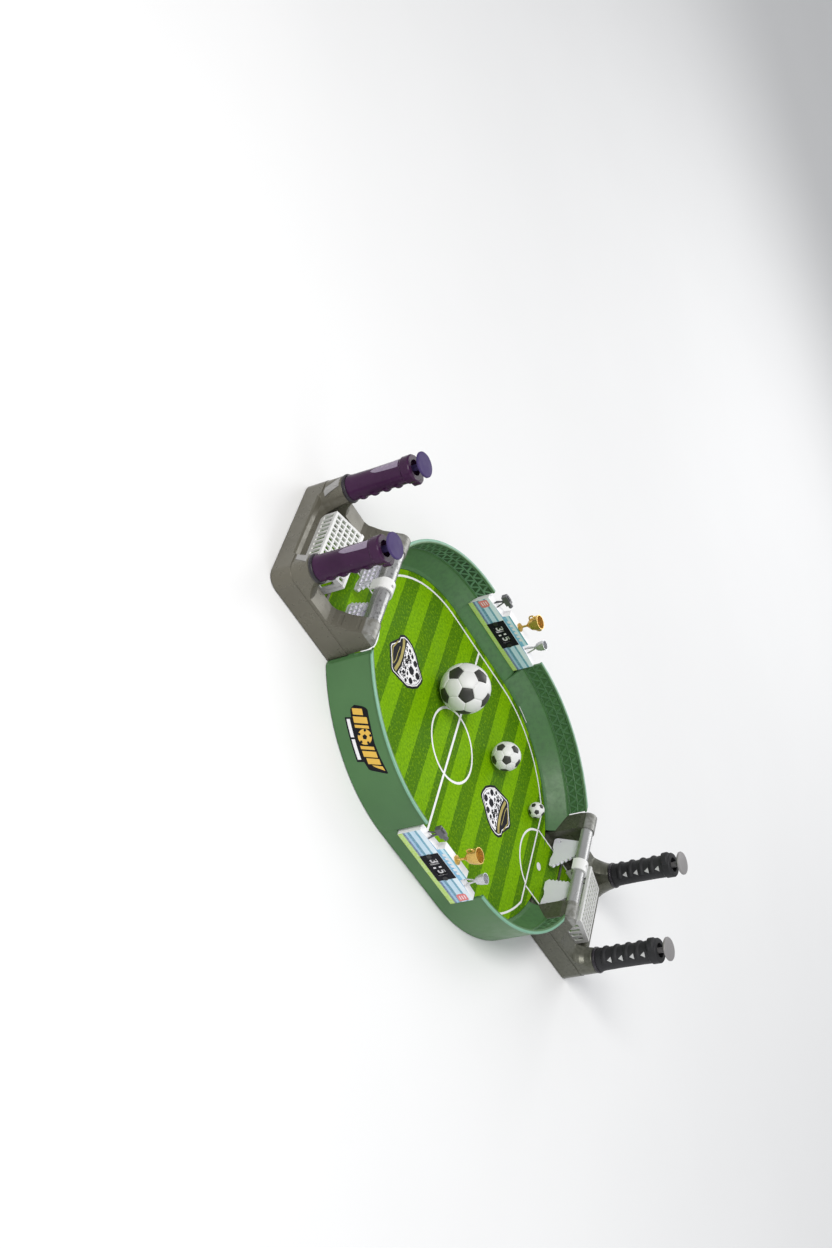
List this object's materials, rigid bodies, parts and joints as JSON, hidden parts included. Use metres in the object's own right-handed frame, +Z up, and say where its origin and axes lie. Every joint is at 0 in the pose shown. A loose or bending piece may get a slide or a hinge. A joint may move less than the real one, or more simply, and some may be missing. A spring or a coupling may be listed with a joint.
{
  "type": "foosball table",
  "caption": "Tabletop soccer game with an oval walled pitch, end frames with grips, thumb buttons that swing hanging kickers, goals, scoreboards and loose balls.",
  "frame": {"origin": "middle of the underside, under the halfway line", "axes": "+X towards the black grips, +Y towards the far scoreboard, +Z up"},
  "size_m": [0.6948, 0.3904, 0.146],
  "materials": {
    "green_base": "moulded green plastic, fine texture",
    "turf_print": "printed sheet with mown stripes and white lines",
    "green_wall": "satin green plastic with a pale rim",
    "foot_rubber": "soft black pads",
    "steel": "plated steel",
    "spring_steel": "spring wire",
    "board_white": "white plastic with printed panels",
    "gold_coat": "gold coated plastic",
    "silver_coat": "silver coated plastic",
    "camera_grey": "dark grey plastic",
    "frame_taupe": "metallic taupe plastic, satin",
    "cover_grey": "matt grey plastic",
    "beam_silver": "silver coated plastic",
    "white_plastic": "white plastic, satin",
    "collar_black": "black plastic",
    "grip_purple": "glossy dark purple plastic",
    "grip_black": "soft matt black skin",
    "button_violet": "violet plastic, satin",
    "button_grey": "grey plastic, satin",
    "acetal": "natural acetal, matt",
    "kicker_white": "white plastic with a cool tint",
    "dial_black": "black plastic disc with printed digits",
    "ball_white": "white ball with dark panels"
  },
  "bodies": {
    "table": {"pitch_base_left": "green_base", "pitch_base_right": "green_base", "turf_left": "turf_print", "turf_right": "turf_print", "wall_left_near": "green_wall", "wall_left_far": "green_wall", "wall_right_near": "green_wall", "wall_right_far": "green_wall", "joining_clips": "green_base", "rubber_feet": "foot_rubber", "screws": "steel", "pivot_pins": "steel", "scoreboard_near": "board_white", "scoreboard_far": "board_white", "cups_gold": "gold_coat", "cups_silver": "silver_coat", "tripod_cameras": "camera_grey", "end_frame_left": "frame_taupe", "end_frame_right": "frame_taupe", "frame_cover_left": "cover_grey", "frame_cover_right": "cover_grey", "crossbeam_left": "beam_silver", "crossbeam_right": "beam_silver", "beam_clips": "white_plastic", "goal_left": "white_plastic", "goal_right": "white_plastic", "grip_collars": "collar_black", "grip_left_near": "grip_purple", "spring_left_near": "spring_steel", "grip_left_far": "grip_purple", "spring_left_far": "spring_steel", "grip_right_near": "grip_black", "spring_right_near": "spring_steel", "grip_right_far": "grip_black", "spring_right_far": "spring_steel"},
    "button_left_near_body": {"button_left_near": "button_violet"},
    "rocker_left_near_body": {"rocker_left_near": "acetal"},
    "push_bar_left_near_body": {"push_bar_left_near": "acetal"},
    "kicker_left_near_body": {"kicker_left_near": "kicker_white"},
    "button_left_far_body": {"button_left_far": "button_violet"},
    "rocker_left_far_body": {"rocker_left_far": "acetal"},
    "push_bar_left_far_body": {"push_bar_left_far": "acetal"},
    "kicker_left_far_body": {"kicker_left_far": "kicker_white"},
    "button_right_near_body": {"button_right_near": "button_grey"},
    "rocker_right_near_body": {"rocker_right_near": "acetal"},
    "push_bar_right_near_body": {"push_bar_right_near": "acetal"},
    "kicker_right_near_body": {"kicker_right_near": "kicker_white"},
    "button_right_far_body": {"button_right_far": "button_grey"},
    "rocker_right_far_body": {"rocker_right_far": "acetal"},
    "push_bar_right_far_body": {"push_bar_right_far": "acetal"},
    "kicker_right_far_body": {"kicker_right_far": "kicker_white"},
    "dial_near_left_body": {"dial_near_left": "dial_black"},
    "dial_near_right_body": {"dial_near_right": "dial_black"},
    "dial_far_left_body": {"dial_far_left": "dial_black"},
    "dial_far_right_body": {"dial_far_right": "dial_black"},
    "ball_large_body": {"ball_large": "ball_white"},
    "ball_middle_body": {"ball_middle": "ball_white"},
    "ball_small_body": {"ball_small": "ball_white"}
  },
  "joints": [
    {"name": "button_left_near_press", "type": "slide", "parent": "table", "child": "button_left_near_body", "axis": [0, 0, -1], "range_m": [0, 0.008], "stiffness_N_per_m": 250, "springref_m": -0.004, "deforming": ["spring_left_near"]},
    {"name": "rocker_left_near_turn", "type": "hinge", "parent": "table", "child": "rocker_left_near_body", "pos_m": [-0.31692, -0.067, 0.022], "axis": [0, -1, 0], "range_deg": [0, 33.01]},
    {"name": "push_bar_left_near_slide", "type": "slide", "parent": "table", "child": "push_bar_left_near_body", "axis": [1, 0, 0], "range_m": [0, 0.00682]},
    {"name": "kicker_left_near_swing", "type": "hinge", "parent": "table", "child": "kicker_left_near_body", "pos_m": [-0.238, -0.034, 0.057], "axis": [0, -1, 0], "range_deg": [0, 50.01]},
    {"name": "button_left_far_press", "type": "slide", "parent": "table", "child": "button_left_far_body", "axis": [0, 0, -1], "range_m": [0, 0.008], "stiffness_N_per_m": 250, "springref_m": -0.004, "deforming": ["spring_left_far"]},
    {"name": "rocker_left_far_turn", "type": "hinge", "parent": "table", "child": "rocker_left_far_body", "pos_m": [-0.31692, 0.067, 0.022], "axis": [0, -1, 0], "range_deg": [0, 33.01]},
    {"name": "push_bar_left_far_slide", "type": "slide", "parent": "table", "child": "push_bar_left_far_body", "axis": [1, 0, 0], "range_m": [0, 0.00682]},
    {"name": "kicker_left_far_swing", "type": "hinge", "parent": "table", "child": "kicker_left_far_body", "pos_m": [-0.238, 0.034, 0.057], "axis": [0, -1, 0], "range_deg": [0, 50.01]},
    {"name": "button_right_near_press", "type": "slide", "parent": "table", "child": "button_right_near_body", "axis": [0, 0, -1], "range_m": [0, 0.008], "stiffness_N_per_m": 250, "springref_m": -0.004, "deforming": ["spring_right_near"]},
    {"name": "rocker_right_near_turn", "type": "hinge", "parent": "table", "child": "rocker_right_near_body", "pos_m": [0.31692, -0.067, 0.022], "axis": [0, 1, 0], "range_deg": [0, 33.01]},
    {"name": "push_bar_right_near_slide", "type": "slide", "parent": "table", "child": "push_bar_right_near_body", "axis": [-1, 0, 0], "range_m": [0, 0.00682]},
    {"name": "kicker_right_near_swing", "type": "hinge", "parent": "table", "child": "kicker_right_near_body", "pos_m": [0.238, -0.034, 0.057], "axis": [0, 1, 0], "range_deg": [0, 50.01]},
    {"name": "button_right_far_press", "type": "slide", "parent": "table", "child": "button_right_far_body", "axis": [0, 0, -1], "range_m": [0, 0.008], "stiffness_N_per_m": 250, "springref_m": -0.004, "deforming": ["spring_right_far"]},
    {"name": "rocker_right_far_turn", "type": "hinge", "parent": "table", "child": "rocker_right_far_body", "pos_m": [0.31692, 0.067, 0.022], "axis": [0, 1, 0], "range_deg": [0, 33.01]},
    {"name": "push_bar_right_far_slide", "type": "slide", "parent": "table", "child": "push_bar_right_far_body", "axis": [-1, 0, 0], "range_m": [0, 0.00682]},
    {"name": "kicker_right_far_swing", "type": "hinge", "parent": "table", "child": "kicker_right_far_body", "pos_m": [0.238, 0.034, 0.057], "axis": [0, 1, 0], "range_deg": [0, 50.01]},
    {"name": "dial_near_left_turn", "type": "hinge", "parent": "table", "child": "dial_near_left_body", "pos_m": [-0.0185, -0.186, 0.038], "axis": [0, 1, 0], "continuous": true},
    {"name": "dial_near_right_turn", "type": "hinge", "parent": "table", "child": "dial_near_right_body", "pos_m": [0.0185, -0.186, 0.038], "axis": [0, 1, 0], "continuous": true},
    {"name": "dial_far_left_turn", "type": "hinge", "parent": "table", "child": "dial_far_left_body", "pos_m": [-0.0185, 0.186, 0.038], "axis": [0, 1, 0], "continuous": true},
    {"name": "dial_far_right_turn", "type": "hinge", "parent": "table", "child": "dial_far_right_body", "pos_m": [0.0185, 0.186, 0.038], "axis": [0, 1, 0], "continuous": true},
    {"name": "ball_large_roll", "type": "slide", "parent": "table", "child": "ball_large_body", "axis": [1, 0, 0], "range_m": [-0.06, 0.05]},
    {"name": "ball_middle_roll", "type": "slide", "parent": "table", "child": "ball_middle_body", "axis": [1, 0, 0], "range_m": [-0.02, 0.05]},
    {"name": "ball_small_roll", "type": "slide", "parent": "table", "child": "ball_small_body", "axis": [1, 0, 0], "range_m": [-0.01, 0.013]}
  ],
  "couplings": [
    {"joint": "rocker_left_near_turn", "follows": "button_left_near_press", "rad_per_m": 71.995},
    {"joint": "push_bar_left_near_slide", "follows": "button_left_near_press", "ratio": 0.85205},
    {"joint": "kicker_left_near_swing", "follows": "button_left_near_press", "rad_per_m": 109.08},
    {"joint": "rocker_left_far_turn", "follows": "button_left_far_press", "rad_per_m": 71.995},
    {"joint": "push_bar_left_far_slide", "follows": "button_left_far_press", "ratio": 0.85205},
    {"joint": "kicker_left_far_swing", "follows": "button_left_far_press", "rad_per_m": 109.08},
    {"joint": "rocker_right_near_turn", "follows": "button_right_near_press", "rad_per_m": 71.995},
    {"joint": "push_bar_right_near_slide", "follows": "button_right_near_press", "ratio": 0.85205},
    {"joint": "kicker_right_near_swing", "follows": "button_right_near_press", "rad_per_m": 109.08},
    {"joint": "rocker_right_far_turn", "follows": "button_right_far_press", "rad_per_m": 71.995},
    {"joint": "push_bar_right_far_slide", "follows": "button_right_far_press", "ratio": 0.85205},
    {"joint": "kicker_right_far_swing", "follows": "button_right_far_press", "rad_per_m": 109.08}
  ]
}
